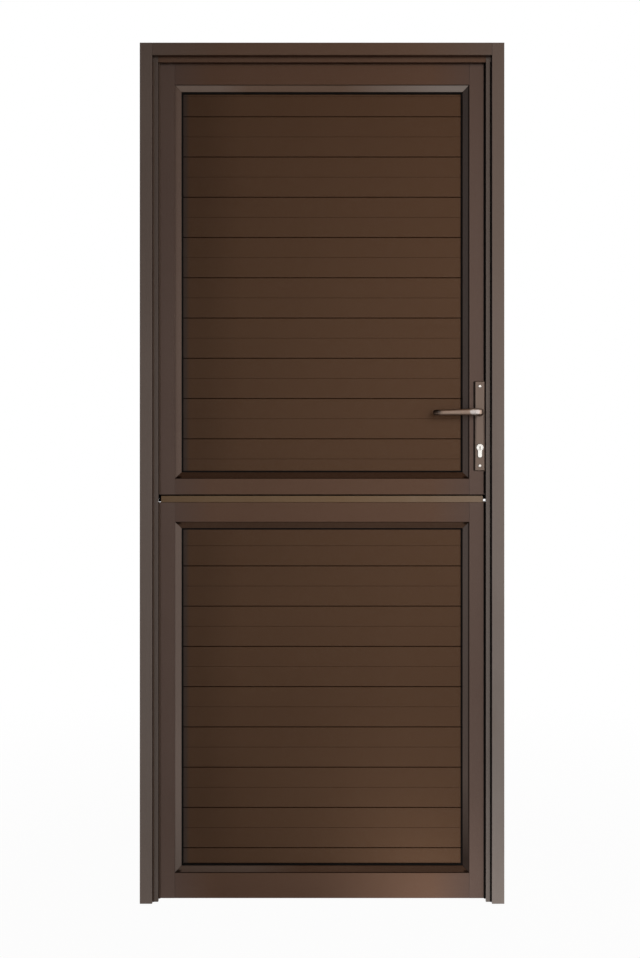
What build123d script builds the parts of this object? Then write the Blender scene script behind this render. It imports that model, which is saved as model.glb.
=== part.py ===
from build123d import *
from collections import namedtuple
from math import ceil, cos, radians, sin, sqrt
import os

# Stable door of hollow bronze coated profiles, with its frame. Millimetres, X to the right, Y away, Z up.
# Origin under the middle of the frame at floor level, halfway through the thickness of the leaves.

# Frame
frame_width = 884.0
frame_height = 2088.0
frame_face = 30.0
frame_depth = 72.0
profile_wall = 2.0
stop_width = 13.0
stop_thickness = 10.0
stop_seal_room = 3.0
fixing_hole_radius = 4.0
fixing_height_shares = (0.08, 0.36, 0.64, 0.92)
fixing_slot_width = 14.0
fixing_slot_height = 24.0

# Leaves
leaf_thickness = 44.0
jamb_gap = 4.0
head_gap = 4.0
foot_gap = 5.0
lower_leaf_height = 968.0
meeting_gap = 19.0
stile_face = 48.0
top_rail_face = 60.0
upper_meeting_rail_face = 39.0
lower_meeting_rail_face = 48.0
bottom_rail_face = 62.0
spigot_length = 40.0
stile_plug_length = 10.0
slip_clearance = 0.3

# Panel seat
panel_recess = 15.0
panel_edge_gap = 3.0
fin_length = 15.0
fin_thickness = 2.5
back_gasket_thickness = 3.0
back_gasket_width = 11.0
front_gasket_thickness = 4.0
front_gasket_cover = 4.0
front_gasket_shown = 3.8

# Boards
board_cover = 98.9
board_thickness = 9.0
board_joint_gap = 0.3
board_vee_width = 2.5
board_vee_depth = 1.2
board_mid_groove_width = 0.8
board_mid_groove_depth = 0.3
board_tongue_height = 5.0
board_tongue_thickness = 2.6
board_tongue_clearance = 0.3
upper_board_trim = 4.0
lower_board_drop = 1.7

# Beads
bead_width = 15.5
bead_set_back = 3.0
bead_wall = 1.6
bead_nose = 2.6
bead_leg = 10.0
clip_depth = 0.8
clip_height = 2.0
clip_clearance = 0.2

# Seals in the stop
seal_inset = 7.0
seal_neck_width = 2.6
seal_foot_width = 4.6
seal_foot_thickness = 1.4
seal_lip_width = 6.0
seal_lip_gap = 0.3
seal_slot_lip = 1.6
seal_slot_clearance = 0.2

# Meeting strip
strip_height = 16.0
strip_end_set_back = 14.0
strip_front_set_back = 1.5
strip_slope = 1.0
strip_wall = 2.0
strip_side_wall = 4.0
meeting_seal_width = 9.0
meeting_seal_sink = 8.0
meeting_seal_gap = 0.5
meeting_seal_overhang = 12.0
meeting_seal_tip_share = 0.5

# Hinges
hinge_end_distance = 150.0
hinge_axis_rise = 8.5
hinge_axis_share = 0.5
knuckle_radius = 7.5
knuckle_height = 52.0
knuckle_gap = 0.6
hinge_pin_radius = 4.0
running_clearance = 0.05
flap_thickness = 4.0
frame_flap_width = 29.0
leaf_flap_width = 38.0
flap_corner = 5.0

# Lock
backset = 23.0
spindle_rise = 200.0
lock_centres = 85.0
faceplate_width = 22.0
faceplate_overhang = 30.0
case_depth = 42.0
case_thickness = 16.0
case_wall = 1.5
case_above_spindle = 48.0
case_below_cylinder = 32.0
spindle_width = 8.0
spindle_clearance = 0.1
follower_radius = 9.0
follower_arm_width = 6.0
follower_arm_reach = 18.0
lever_turn = 35.0
latch_rise = 24.0
latch_height = 14.0
latch_thickness = 10.0
latch_head_length = 18.0
latch_bevel_length = 8.0
latch_tip_share = 0.3
latch_tail_height = 5.0
latch_tail_thickness = 6.0
latch_tail_gap = 2.0
latch_lug_thickness = 2.5
latch_lug_gap = 0.8
dead_bolt_rise = 30.0
dead_bolt_height = 22.0
dead_bolt_thickness = 10.0
dead_bolt_length = 34.0
bolt_set_back = 0.5
bolt_opening_clearance = 0.4
strike_thickness = 1.5
strike_width = 26.0
strike_overlap = 16.0
strike_opening_clearance = 1.5

# Lock cylinder
cylinder_radius = 8.5
cylinder_stem_width = 10.0
cylinder_height = 33.0
cylinder_projection = 3.0
cylinder_foot = 2.5
plug_radius = 6.5
keyway_width = 2.2
keyway_height = 8.0
keyway_depth = 18.0
keyway_rise_share = 0.375
cam_reach = 15.0
cam_width = 6.0
cam_thickness = 9.6
cam_clearance = 0.4

# Handles
plate_width = 25.0
plate_height = 219.0
plate_below_cylinder = 57.0
plate_thickness = 8.0
plate_edge = 1.5
neck_radius = 8.5
neck_proud = 2.0
neck_height = 16.5
neck_thickness = 13.0
neck_straight = 16.0
elbow_radius = 22.0
lever_length = 112.0
bar_height = 12.5
tip_radius = 14.0
tip_turn = 75.0
spindle_grip = 20.0

# Slide bolt on the lower leaf
slide_bolt_width = 12.0
slide_bolt_set_back = 7.0
slide_bolt_length = 104.0
slide_bolt_rise = 3.0
slide_bolt_clearance = 0.4
slide_bolt_edge = 1.5
slide_grip_width = 9.0
slide_grip_length = 22.0
slide_grip_share = 0.3
saddle_wall = 4.0
saddle_length = 14.0
saddle_base = 3.0
saddle_base_height = 38.0
saddle_inset = 4.0
keep_length = 24.0
keep_inset = 3.0
keep_clearance = 1.0

# Every cut runs this far past the faces it opens
overrun = 1.0

# Planes that several pieces share
frame_half = frame_width / 2
frame_inner = frame_half - frame_face
stop_edge = frame_inner - stop_width
leaf_half = frame_inner - jamb_gap
leaf_front = -leaf_thickness / 2
leaf_back = leaf_thickness / 2
frame_back = leaf_back
frame_front = frame_back - frame_depth
stop_back = leaf_front - stop_seal_room
stop_front = stop_back - stop_thickness
panel_edge = leaf_half - stile_face
board_front = leaf_front + panel_recess
board_back = board_front + board_thickness
fin_front = board_back + back_gasket_thickness
bead_toe = panel_recess - front_gasket_thickness
head_underside = frame_height - frame_face
hinge_x = -(leaf_half + jamb_gap * hinge_axis_share)
hinge_y = leaf_back + hinge_axis_rise
lower_top = foot_gap + lower_leaf_height
upper_bottom = lower_top + meeting_gap
upper_top = head_underside - head_gap
spindle_height = upper_bottom + spindle_rise
lock_x = leaf_half - backset
cylinder_z = spindle_height - lock_centres
case_front = leaf_half - profile_wall
case_back = case_front - case_depth
case_bottom = cylinder_z - case_below_cylinder
case_top = spindle_height + case_above_spindle
latch_z = spindle_height + latch_rise
dead_bolt_z = cylinder_z + dead_bolt_rise
bolt_tip = leaf_half - bolt_set_back
plate_bottom = cylinder_z - plate_below_cylinder
plate_top = plate_bottom + plate_height
plate_front = leaf_front - plate_thickness
slide_front = leaf_back + saddle_base + slide_bolt_rise
slide_y = slide_front + slide_bolt_width / 2
slide_tip = leaf_half - slide_bolt_set_back

# A leaf is known by its two ends and the faces of its lower and upper rails
Leaf = namedtuple("Leaf", "name bottom top low_rail high_rail")
lower_leaf = Leaf("lower", foot_gap, lower_top, bottom_rail_face, lower_meeting_rail_face)
upper_leaf = Leaf("upper", upper_bottom, upper_top, upper_meeting_rail_face, top_rail_face)
slide_z = lower_leaf.top - lower_leaf.high_rail / 2

to_right = Vector(1, 0, 0)
to_left = Vector(-1, 0, 0)
to_top = Vector(0, 0, 1)
to_bottom = Vector(0, 0, -1)
to_back = Vector(0, 1, 0)


def block(x0, x1, y0, y1, z0, z1):
    return Pos((x0 + x1) / 2, (y0 + y1) / 2, (z0 + z1) / 2) * Box(x1 - x0, y1 - y0, z1 - z0)


def patch(u0, u1, v0, v1):
    return Pos((u0 + u1) / 2, (v0 + v1) / 2) * Rectangle(u1 - u0, v1 - v0)


def raised(sketch, plane, length):
    return extrude(plane * sketch, length, dir=plane.z_dir)


def rod(radius, start, end):
    axis = Vector(*end) - Vector(*start)
    return raised(Circle(radius), Plane(origin=start, z_dir=axis), axis.length)


def along_x(sketch, x0, x1):
    return raised(sketch, Plane.YZ.offset(x0), x1 - x0)


def along_y(sketch, y0, y1):
    return raised(sketch, Plane.XZ.offset(-y1), y1 - y0)


def along_z(sketch, z0, z1):
    return raised(sketch, Plane.XY.offset(z0), z1 - z0)


# A length of profile on one side of an opening: u runs outward from the edge, v runs back from the front
def side_member(section, outward, edge, low, high, front):
    if outward.X:
        start = (edge, front, low if outward.X > 0 else high)
    else:
        start = (high if outward.Z > 0 else low, front, edge)
    plane = Plane(origin=start, x_dir=outward, z_dir=outward.cross(to_back))
    return raised(section, plane, high - low)


def opening(leaf):
    return leaf.bottom + leaf.low_rail, leaf.top - leaf.high_rail


# The four sides of a panel opening, in the order of its corners
def sides(leaf):
    low, high = opening(leaf)
    return (
        ("bottom", to_bottom, low, -panel_edge, panel_edge),
        ("right", to_right, panel_edge, low, high),
        ("top", to_top, high, -panel_edge, panel_edge),
        ("left", to_left, -panel_edge, low, high),
    )


def corners(leaf, inset):
    low, high = opening(leaf)
    x = panel_edge - inset
    return ((-x, low + inset), (x, low + inset), (x, high - inset), (-x, high - inset))


def ring(leaf, outer_inset, inner_inset, y0, y1):
    outer = Polygon(*corners(leaf, outer_inset))
    inner = Polygon(*corners(leaf, inner_inset))
    return along_y(outer - inner, y0, y1)


# Frame profiles and the stops clipped on them, with round holes for the wall fixings and slots to reach them from the doorway
def frame_box_section():
    wall = profile_wall
    return patch(0, frame_face, 0, frame_depth) - patch(wall, frame_face - wall, wall, frame_depth - wall)


def stop_section():
    front = stop_front - frame_front
    back = front + stop_thickness
    middle = -stop_width + seal_inset - seal_lip_width / 2
    neck = seal_neck_width / 2 + seal_slot_clearance
    foot = seal_foot_width / 2 + seal_slot_clearance
    deep = back - seal_slot_lip - seal_foot_thickness - seal_slot_clearance
    mouth = patch(middle - neck, middle + neck, deep, back + overrun)
    pocket = patch(middle - foot, middle + foot, deep, back - seal_slot_lip)
    return patch(-stop_width, 0, front, back) - mouth - pocket


def jamb(outward):
    edge = outward.X * frame_inner
    result = side_member(frame_box_section(), outward, edge, 0, frame_height, frame_front)
    middle = (frame_front + frame_back) / 2
    for share in fixing_height_shares:
        height = frame_height * share
        start = (edge + outward.X * (frame_face - profile_wall - overrun), middle, height)
        end = (edge + outward.X * (frame_face + overrun), middle, height)
        result -= rod(fixing_hole_radius, start, end)
        slot = Pos(edge, middle, height)
        result -= slot * Box(2 * (profile_wall + overrun), fixing_slot_width, fixing_slot_height)
    return result


def jamb_stop(outward):
    return side_member(stop_section(), outward, outward.X * frame_inner, 0, head_underside, frame_front)


def lock_jamb():
    result = jamb(to_right)
    for height, tall, thick in bolt_ports():
        half_y = thick / 2 + strike_opening_clearance
        half_z = tall / 2 + strike_opening_clearance
        result -= block(
            frame_inner - overrun, frame_inner + profile_wall + overrun,
            -half_y, half_y, height - half_z, height + half_z,
        )
    return result


def frame_head():
    return side_member(frame_box_section(), to_top, head_underside, -frame_inner, frame_inner, frame_front)


def head_stop():
    return side_member(stop_section(), to_top, head_underside, -stop_edge, stop_edge, frame_front)


def head_spigots():
    gap = profile_wall + slip_clearance
    right = block(
        frame_inner - spigot_length, frame_inner, frame_front + gap, frame_back - gap,
        head_underside + gap, frame_height - gap,
    )
    return [right, mirror(right, Plane.YZ)]


# Seal with a foot held in the slot of the stop and a lip that meets the leaf
def seal_section():
    back = stop_back - frame_front
    middle = -stop_width + seal_inset - seal_lip_width / 2
    lip = patch(
        middle - seal_lip_width / 2, middle + seal_lip_width / 2,
        back, back + stop_seal_room - seal_lip_gap,
    )
    foot_back = back - seal_slot_lip - seal_slot_clearance / 2
    neck = patch(middle - seal_neck_width / 2, middle + seal_neck_width / 2, foot_back, back)
    foot = patch(
        middle - seal_foot_width / 2, middle + seal_foot_width / 2,
        foot_back - seal_foot_thickness, foot_back,
    )
    return lip + neck + foot


def stop_seals():
    section = seal_section()
    head = side_member(section, to_top, head_underside, -stop_edge, stop_edge, frame_front)
    right = side_member(section, to_right, frame_inner, 0, head_underside, frame_front)
    left = side_member(section, to_left, -frame_inner, 0, head_underside, frame_front)
    return [head, right, left]


# Leaves
def leaf_section(face):
    wall = profile_wall
    box = patch(0, face, 0, leaf_thickness) - patch(wall, face - wall, wall, leaf_thickness - wall)
    low = clip_line() - clip_clearance
    high = clip_line() + clip_height + clip_clearance
    return box - patch(-overrun, clip_depth + clip_clearance, low, high)


# Depth behind the leaf's face at which the beads clip into the profiles
def clip_line():
    return bead_set_back + bead_leg - clip_height - bead_wall


def fin_section():
    front = fin_front - leaf_front
    return patch(-fin_length, 0, front, front + fin_thickness)


def stile(leaf, outward):
    low, high = opening(leaf)
    edge = outward.X * panel_edge
    body = side_member(leaf_section(stile_face), outward, edge, leaf.bottom, leaf.top, leaf_front)
    return body + side_member(fin_section(), outward, edge, low, high, leaf_front)


def rail(face, outward, edge):
    body = side_member(leaf_section(face), outward, edge, -panel_edge, panel_edge, leaf_front)
    reach = panel_edge - fin_length
    return body + side_member(fin_section(), outward, edge, -reach, reach, leaf_front)


def spigots(leaf):
    gap = profile_wall + slip_clearance
    low, high = opening(leaf)
    pieces = []
    for bottom, top in ((leaf.bottom, low), (high, leaf.top)):
        right = block(
            panel_edge - spigot_length, panel_edge, leaf_front + gap, leaf_back - gap, bottom + gap, top - gap
        )
        pieces += [right, mirror(right, Plane.YZ)]
    return pieces


def stile_plugs(leaf):
    gap = profile_wall + slip_clearance
    pieces = []
    for bottom, top in (
        (leaf.bottom, leaf.bottom + stile_plug_length),
        (leaf.top - stile_plug_length, leaf.top),
    ):
        right = block(panel_edge + gap, leaf_half - gap, leaf_front + gap, leaf_back - gap, bottom, top)
        pieces += [right, mirror(right, Plane.YZ)]
    return pieces


# Open sprung section with a sloping face, a nose on the gasket and a leg that clips into the profile
def bead_section():
    shoulder = bead_toe - bead_nose
    foot = bead_set_back + bead_leg
    clip = clip_line()
    return Polygon(
        (0, bead_set_back),
        (0, clip),
        (clip_depth, clip),
        (clip_depth, clip + clip_height / 2),
        (0, clip + clip_height),
        (0, foot),
        (-bead_wall, foot),
        (-bead_wall, bead_set_back + bead_wall),
        (-bead_width + bead_wall, shoulder + bead_wall),
        (-bead_width + bead_wall, bead_toe),
        (-bead_width, bead_toe),
        (-bead_width, shoulder),
    )


def beads(leaf):
    section = bead_section()
    outer = corners(leaf, -clip_depth)
    inner = corners(leaf, bead_width)
    made = {}
    for index, (name, outward, edge, low, high) in enumerate(sides(leaf)):
        long_bead = side_member(section, outward, edge, low - clip_depth, high + clip_depth, leaf_front)
        following = (index + 1) % len(outer)
        mitre = Polygon(outer[index], outer[following], inner[following], inner[index])
        made[name] = long_bead & along_y(mitre, leaf_front, leaf_back)
    return made


# Board section, front to the left: vee edges, a fine groove halfway, tongue above and slot below
def board_section():
    height = board_cover - board_joint_gap
    middle = height / 2
    vee = (board_vee_width - board_joint_gap) / 2
    fine = board_mid_groove_width / 2
    tongue_front = (board_thickness - board_tongue_thickness) / 2
    tongue_back = tongue_front + board_tongue_thickness
    slot_front = tongue_front - board_tongue_clearance
    slot_back = tongue_back + board_tongue_clearance
    slot_top = board_tongue_height + board_tongue_clearance
    return Polygon(
        (0, vee),
        (0, middle - fine),
        (board_mid_groove_depth, middle),
        (0, middle + fine),
        (0, height - vee),
        (board_vee_depth, height),
        (tongue_front, height),
        (tongue_front, height + board_tongue_height),
        (tongue_back, height + board_tongue_height),
        (tongue_back, height),
        (board_thickness, height),
        (board_thickness, 0),
        (slot_back, 0),
        (slot_back, slot_top),
        (slot_front, slot_top),
        (slot_front, 0),
        (board_vee_depth, 0),
    )


# Boards start at the meeting rail, the upper leaf's first one trimmed, and the last one is cut to fit
def panel_boards(leaf):
    low, high = opening(leaf)
    low += panel_edge_gap
    high -= panel_edge_gap
    reach = panel_edge - panel_edge_gap
    board = along_x(board_section(), -reach, reach)
    room = block(-reach, reach, board_front, board_back, low, high)
    count = ceil((high - low) / board_cover)
    first = low - upper_board_trim
    top_board = high - lower_board_drop - board_tongue_height - board_cover + board_joint_gap
    pieces = []
    for index in range(count):
        step = index * board_cover
        height = first + step if leaf.name == "upper" else top_board - step
        placed = Pos(0, board_front, height) * board
        pieces.append(placed & room)
    return pieces


def front_gasket(leaf):
    inset = bead_width - front_gasket_cover
    return ring(leaf, inset, bead_width + front_gasket_shown, leaf_front + bead_toe, board_front)


def back_gasket(leaf):
    return ring(leaf, panel_edge_gap, panel_edge_gap + back_gasket_width, board_back, fin_front)


# Weather strip on top of the lower leaf, with its faces leaning in a little, and the seal that stands in it
def meeting_strip():
    z0 = lower_leaf.top
    z1 = z0 + strip_height
    y0 = leaf_front + strip_front_set_back
    y1 = leaf_back - strip_front_set_back
    wall = strip_wall
    half_seal = meeting_seal_width / 2 + slip_clearance
    outline = Polygon((y0, z0), (y1, z0), (y1 - strip_slope, z1), (y0 + strip_slope, z1))
    groove = patch(-half_seal, half_seal, z1 - meeting_seal_sink, z1 + overrun)
    room_top = z1 - meeting_seal_sink - wall
    slant = strip_slope * (room_top - z0) / strip_height
    room = Polygon(
        (y0 + strip_side_wall, z0 + wall),
        (y1 - strip_side_wall, z0 + wall),
        (y1 - slant - wall, room_top),
        (y0 + slant + wall, room_top),
    )
    half = leaf_half - strip_end_set_back
    return along_x(outline - groove - room, -half, half)


def meeting_seal():
    z0 = lower_leaf.top + strip_height - meeting_seal_sink
    z1 = upper_leaf.bottom - meeting_seal_gap
    half = leaf_half - strip_end_set_back
    reach = half + meeting_seal_overhang
    wide = meeting_seal_width / 2
    tip = wide * meeting_seal_tip_share
    outline = Polygon((-wide, z0), (wide, z0), (tip, z1), (-tip, z1))
    return along_x(outline, -reach, reach)


# Hinges
def hinge_heights(leaf):
    return leaf.bottom + hinge_end_distance, leaf.top - hinge_end_distance


def axis_rod(radius, low, high):
    return rod(radius, (hinge_x, hinge_y, low), (hinge_x, hinge_y, high))


# One flag of a lift-off hinge: a flap on the back of the door and the knuckle that the pin runs in
def hinge_flag(side, width, low):
    high = low + knuckle_height
    far = hinge_x + side * width
    flap = block(min(hinge_x, far), max(hinge_x, far), leaf_back, leaf_back + flap_thickness, low, high)
    outer_edges = flap.edges().filter_by(Axis.Y).group_by(Axis.X)[-1 if side > 0 else 0]
    flag = chamfer(outer_edges, flap_corner) + axis_rod(knuckle_radius, low, high)
    return flag - axis_rod(hinge_pin_radius + running_clearance, low - overrun, high + overrun)


def frame_flags(heights):
    return [hinge_flag(-1, frame_flap_width, z - knuckle_gap / 2 - knuckle_height) for z in heights]


def leaf_flags(heights):
    return [hinge_flag(1, leaf_flap_width, z + knuckle_gap / 2) for z in heights]


def hinge_pins(heights):
    reach = knuckle_height + knuckle_gap / 2
    return [axis_rod(hinge_pin_radius, z - reach, z + reach) for z in heights]


# Lock
def bolt_ports():
    return (
        (latch_z, latch_height, latch_thickness),
        (dead_bolt_z, dead_bolt_height, dead_bolt_thickness),
    )


def bolt_openings(x0, x1):
    openings = Part()
    for height, tall, thick in bolt_ports():
        half_y = thick / 2 + bolt_opening_clearance
        half_z = tall / 2 + bolt_opening_clearance
        openings += block(x0 - overrun, x1 + overrun, -half_y, half_y, height - half_z, height + half_z)
    return openings


# Profile of the lock cylinder: a round head on a stem whose foot has its corners taken off
def cylinder_profile(margin):
    half = cylinder_stem_width / 2 + margin
    low = cylinder_radius - cylinder_height - margin
    stem = Polygon(
        (-half, 0),
        (-half, low + cylinder_foot),
        (cylinder_foot - half, low),
        (half - cylinder_foot, low),
        (half, low + cylinder_foot),
        (half, 0),
    )
    return Pos(lock_x, cylinder_z) * (Circle(cylinder_radius + margin) + stem)


# Plain windows that the cylinder passes through where nothing shows
def cylinder_window(y0, y1):
    half = cylinder_radius + slip_clearance
    low = cylinder_z + cylinder_radius - cylinder_height - slip_clearance
    return block(lock_x - half, lock_x + half, y0, y1, low, cylinder_z + half)


def faceplate():
    x0 = leaf_half - profile_wall
    z0 = case_bottom - faceplate_overhang
    z1 = case_top + faceplate_overhang
    plate = block(x0, leaf_half, -faceplate_width / 2, faceplate_width / 2, z0, z1)
    return plate - bolt_openings(x0, leaf_half)


def lock_case():
    wall = case_wall
    half = case_thickness / 2
    shell = block(case_back, case_front, -half, half, case_bottom, case_top)
    shell -= block(
        case_back + wall, case_front - wall, wall - half, half - wall, case_bottom + wall, case_top - wall
    )
    shell -= bolt_openings(case_front - wall, case_front)
    window = spindle_width / sqrt(2) + slip_clearance
    shell -= block(
        lock_x - window, lock_x + window, -half - overrun, half + overrun,
        spindle_height - window, spindle_height + window,
    )
    return shell - cylinder_window(-half - overrun, half + overrun)


# Follower on the spindle, with an arm that draws the latch back
def follower():
    half = case_thickness / 2 - case_wall - slip_clearance
    arm = follower_arm_width / 2
    square = spindle_width + 2 * spindle_clearance
    outline = Circle(follower_radius) + patch(-arm, arm, 0, follower_arm_reach)
    outline -= Rectangle(square, square)
    return along_y(Pos(lock_x, spindle_height) * outline, -half, half)


# Sprung latch, drawn back: bevelled head, tail over the follower's arm and a lug behind it
def latch_bolt():
    half = latch_thickness / 2
    head_back = bolt_tip - latch_head_length
    head = Polygon(
        (head_back, -half),
        (bolt_tip - latch_bevel_length, -half),
        (bolt_tip, half - latch_thickness * latch_tip_share),
        (bolt_tip, half),
        (head_back, half),
    )
    result = along_z(head, latch_z - latch_height / 2, latch_z + latch_height / 2)
    thin = latch_tail_thickness / 2
    tail_bottom = spindle_height + follower_arm_reach + latch_tail_gap
    tail_top = tail_bottom + latch_tail_height
    turn = radians(lever_turn)
    swing = follower_arm_reach * sin(turn) + follower_arm_width / 2 * cos(turn)
    lug_front = lock_x - swing - latch_lug_gap
    lug_back = lug_front - latch_lug_thickness
    lug_bottom = spindle_height + follower_arm_reach * cos(turn) - latch_tail_gap
    result += block(lug_back, head_back, -thin, thin, tail_bottom, tail_top)
    return result + block(lug_back, lug_front, -thin, thin, lug_bottom, tail_bottom)


def dead_bolt():
    half_y = dead_bolt_thickness / 2
    half_z = dead_bolt_height / 2
    return block(
        bolt_tip - dead_bolt_length, bolt_tip, -half_y, half_y, dead_bolt_z - half_z, dead_bolt_z + half_z
    )


def strike_plate():
    half = strike_width / 2
    z0 = dead_bolt_z - dead_bolt_height / 2 - strike_overlap
    z1 = latch_z + latch_height / 2 + strike_overlap
    plate = block(frame_inner - strike_thickness, frame_inner, -half, half, z0, z1)
    for height, tall, thick in bolt_ports():
        half_y = thick / 2 + strike_opening_clearance
        half_z = tall / 2 + strike_opening_clearance
        plate -= block(
            frame_inner - strike_thickness - overrun, frame_inner + overrun,
            -half_y, half_y, height - half_z, height + half_z,
        )
    return plate


def cylinder_reach():
    return leaf_back + plate_thickness + cylinder_projection


def lock_cylinder():
    reach = cylinder_reach()
    body = along_y(cylinder_profile(0), -reach, reach)
    bore = plug_radius + running_clearance
    body -= rod(bore, (lock_x, -reach - overrun, cylinder_z), (lock_x, reach + overrun, cylinder_z))
    half = cam_thickness / 2 + cam_clearance
    wide = cylinder_radius + overrun
    low = cylinder_z - cam_reach - cam_clearance
    return body - block(lock_x - wide, lock_x + wide, -half, half, low, cylinder_z + wide)


# Plug that a key turns from either side, with the cam halfway that drives the dead bolt
def cylinder_plug():
    reach = cylinder_reach()
    plug = rod(plug_radius, (lock_x, -reach, cylinder_z), (lock_x, reach, cylinder_z))
    half = cam_thickness / 2
    wide = cam_width / 2
    plug += block(lock_x - wide, lock_x + wide, -half, half, cylinder_z - cam_length(), cylinder_z)
    key_top = cylinder_z + keyway_height * keyway_rise_share
    for side in (-1, 1):
        keyway = Box(keyway_width, 2 * keyway_depth, keyway_height)
        plug -= Pos(lock_x, side * reach, key_top - keyway_height / 2) * keyway
    return plug


# The corners of the cam's flat tip turn at its full reach
def cam_length():
    return sqrt(cam_reach**2 - cam_width**2 / 4)


# Handles
def backplate():
    middle = (plate_bottom + plate_top) / 2
    plate = along_y(Pos(lock_x, middle) * Rectangle(plate_width, plate_height), plate_front, leaf_front)
    plate = chamfer(plate.faces().sort_by(Axis.Y)[0].edges(), plate_edge)
    plate -= along_y(cylinder_profile(slip_clearance), plate_front - overrun, leaf_front + overrun)
    start = (lock_x, plate_front - overrun, spindle_height)
    end = (lock_x, leaf_front + overrun, spindle_height)
    return plate - rod(neck_radius + running_clearance, start, end)


# Outline of the lever from above: neck, elbow, bar and a tip that turns back to the door
def lever_outline():
    neck_end = plate_front - neck_proud
    elbow_start = neck_end - neck_straight
    bar_y = elbow_start - elbow_radius
    bar_start = lock_x - elbow_radius
    bar_end = lock_x - lever_length + tip_radius
    route = Line((lock_x, neck_end), (lock_x, elbow_start))
    route += RadiusArc((lock_x, elbow_start), (bar_start, bar_y), elbow_radius)
    route += Line((bar_start, bar_y), (bar_end, bar_y))
    turn = radians(tip_turn)
    tip = (bar_end - tip_radius * sin(turn), bar_y + tip_radius - tip_radius * cos(turn))
    route += RadiusArc((bar_end, bar_y), tip, tip_radius)
    return trace(route, neck_thickness), bar_start, bar_end


# Lever: the round neck that runs in the backplate, then a flat bar that tapers above and below
def lever():
    z = spindle_height
    outline, bar_start, bar_end = lever_outline()
    result = along_z(outline, z - neck_height / 2, z + neck_height / 2)
    low = plate_front - neck_proud - neck_straight - elbow_radius - neck_thickness
    far = lock_x - lever_length - neck_thickness
    near = bar_start
    fall = (neck_height - bar_height) / 2 * (near - far) / (near - bar_end)
    top = neck_height / 2
    wedge = Polygon((near, z + top), (far, z + top), (far, z + top - fall))
    lower_wedge = Polygon((near, z - top), (far, z - top + fall), (far, z - top))
    result -= along_y(wedge, low, leaf_front)
    result -= along_y(lower_wedge, low, leaf_front)
    result += rod(neck_radius, (lock_x, leaf_front, z), (lock_x, plate_front - neck_proud, z))
    square = spindle_width / 2 + spindle_clearance
    return result - block(
        lock_x - square, lock_x + square, plate_front - spindle_grip, leaf_front + overrun,
        z - square, z + square,
    )


def spindle():
    half = spindle_width / 2
    reach = leaf_back + plate_thickness + spindle_grip - slip_clearance
    return block(
        lock_x - half, lock_x + half, -reach, reach, spindle_height - half, spindle_height + half
    )


# The lock stile is cut for the faceplate, the spindle and the cylinder
def upper_lock_stile():
    result = stile(upper_leaf, to_right)
    half = faceplate_width / 2 + slip_clearance
    result -= block(
        leaf_half - profile_wall - overrun, leaf_half + overrun, -half, half,
        case_bottom - faceplate_overhang - slip_clearance, case_top + faceplate_overhang + slip_clearance,
    )
    front = leaf_front - overrun
    back = leaf_back + overrun
    half = neck_radius + slip_clearance
    result -= block(
        lock_x - half, lock_x + half, front, back, spindle_height - half, spindle_height + half
    )
    return result - cylinder_window(front, back)


# Slide bolt
def saddle(x0, x1, clearance):
    half = slide_bolt_width / 2 + clearance
    outer = half + saddle_wall
    bridge = block(x0, x1, leaf_back, slide_y + outer, slide_z - outer, slide_z + outer)
    bridge = chamfer(bridge.faces().sort_by(Axis.Y)[-1].edges().filter_by(Axis.X), saddle_wall)
    return bridge - block(
        x0 - overrun, x1 + overrun, slide_y - half, slide_y + half, slide_z - half, slide_z + half
    )


def bolt_housing():
    x0 = slide_tip - slide_bolt_length + saddle_inset
    x1 = slide_tip - saddle_inset
    half = saddle_base_height / 2
    base = block(x0, x1, leaf_back, leaf_back + saddle_base, slide_z - half, slide_z + half)
    base += saddle(x0, x0 + saddle_length, slide_bolt_clearance)
    return base + saddle(x1 - saddle_length, x1, slide_bolt_clearance)


def slide_bolt():
    half = slide_bolt_width / 2
    bolt = block(
        slide_tip - slide_bolt_length, slide_tip, slide_y - half, slide_y + half,
        slide_z - half, slide_z + half,
    )
    bolt = chamfer(bolt.faces().sort_by(Axis.X)[-1].edges(), slide_bolt_edge)
    grip_x = slide_tip - slide_bolt_length * (1 - slide_grip_share)
    grip = slide_grip_width / 2
    pull = block(
        grip_x - grip, grip_x + grip, slide_y, slide_y + slide_grip_length, slide_z - grip, slide_z + grip
    )
    return bolt + chamfer(pull.faces().sort_by(Axis.Y)[-1].edges(), slide_bolt_edge)


def bolt_keep():
    x0 = frame_inner + keep_inset
    x1 = x0 + keep_length
    half = saddle_base_height / 2
    base = block(x0, x1, frame_back, frame_back + saddle_base, slide_z - half, slide_z + half)
    return base + saddle(x0, x1, keep_clearance)


def save(node, shape):
    shape = Compound(shape) if isinstance(shape, list) else shape
    export_step(shape, f"parts/{node}.step")


def save_leaf(leaf):
    low, high = opening(leaf)
    heights = hinge_heights(leaf)
    name = leaf.name
    save(f"{name}_hinge_stile", stile(leaf, to_left))
    save(f"{name}_spigots", spigots(leaf))
    save(f"{name}_stile_plugs", stile_plugs(leaf))
    for side, bead in beads(leaf).items():
        save(f"{name}_{side}_bead", bead)
    save(f"{name}_panel_boards", panel_boards(leaf))
    save(f"{name}_front_gasket", front_gasket(leaf))
    save(f"{name}_back_gasket", back_gasket(leaf))
    save(f"{name}_hinge_flags", leaf_flags(heights))
    low_rail = "meeting" if name == "upper" else "bottom"
    high_rail = "top" if name == "upper" else "meeting"
    save(f"{name}_{low_rail}_rail", rail(leaf.low_rail, to_bottom, low))
    save(f"{name}_{high_rail}_rail", rail(leaf.high_rail, to_top, high))


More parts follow.
